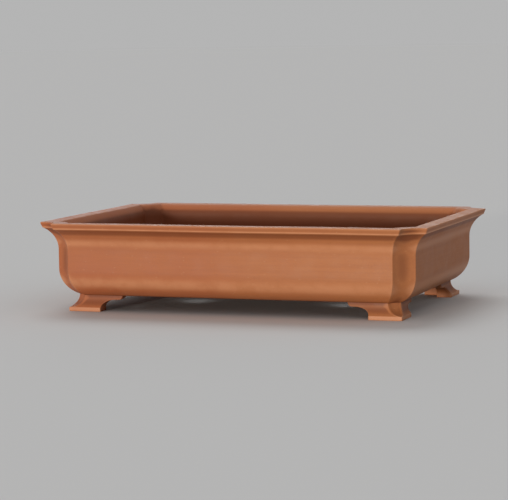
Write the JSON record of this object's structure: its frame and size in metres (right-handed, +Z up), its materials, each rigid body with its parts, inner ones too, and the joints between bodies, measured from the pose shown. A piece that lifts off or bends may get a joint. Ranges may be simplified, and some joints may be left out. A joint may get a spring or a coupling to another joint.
{
  "type": "bonsai pot",
  "caption": "Shallow rectangular unglazed clay bonsai pot with indented corners, a flared lip, bracket feet, and drain holes covered by clipped screens.",
  "frame": {"origin": "centre of the footprint, on the plane that the feet stand on", "axes": "+X along the long side, +Y from the front to the back, +Z up"},
  "size_m": [0.4, 0.28, 0.09],
  "materials": {
    "clay": "unglazed stoneware, satin, fine grain",
    "screen_plastic": "moulded polyethylene net, matte",
    "clip_wire": "copper-brown anodised wire, satin"
  },
  "bodies": {
    "root": {"floor_slab": "clay", "front_wall": "clay", "back_wall": "clay", "left_wall": "clay", "right_wall": "clay", "front_left_corner": "clay", "front_right_corner": "clay", "back_left_corner": "clay", "back_right_corner": "clay", "front_lip": "clay", "back_lip": "clay", "left_lip": "clay", "right_lip": "clay", "front_left_lip_corner": "clay", "front_right_lip_corner": "clay", "back_left_lip_corner": "clay", "back_right_lip_corner": "clay", "front_left_foot": "clay", "front_right_foot": "clay", "back_left_foot": "clay", "back_right_foot": "clay", "left_screen": "screen_plastic", "right_screen": "screen_plastic", "left_clip": "clip_wire", "right_clip": "clip_wire"}
  },
  "joints": []
}
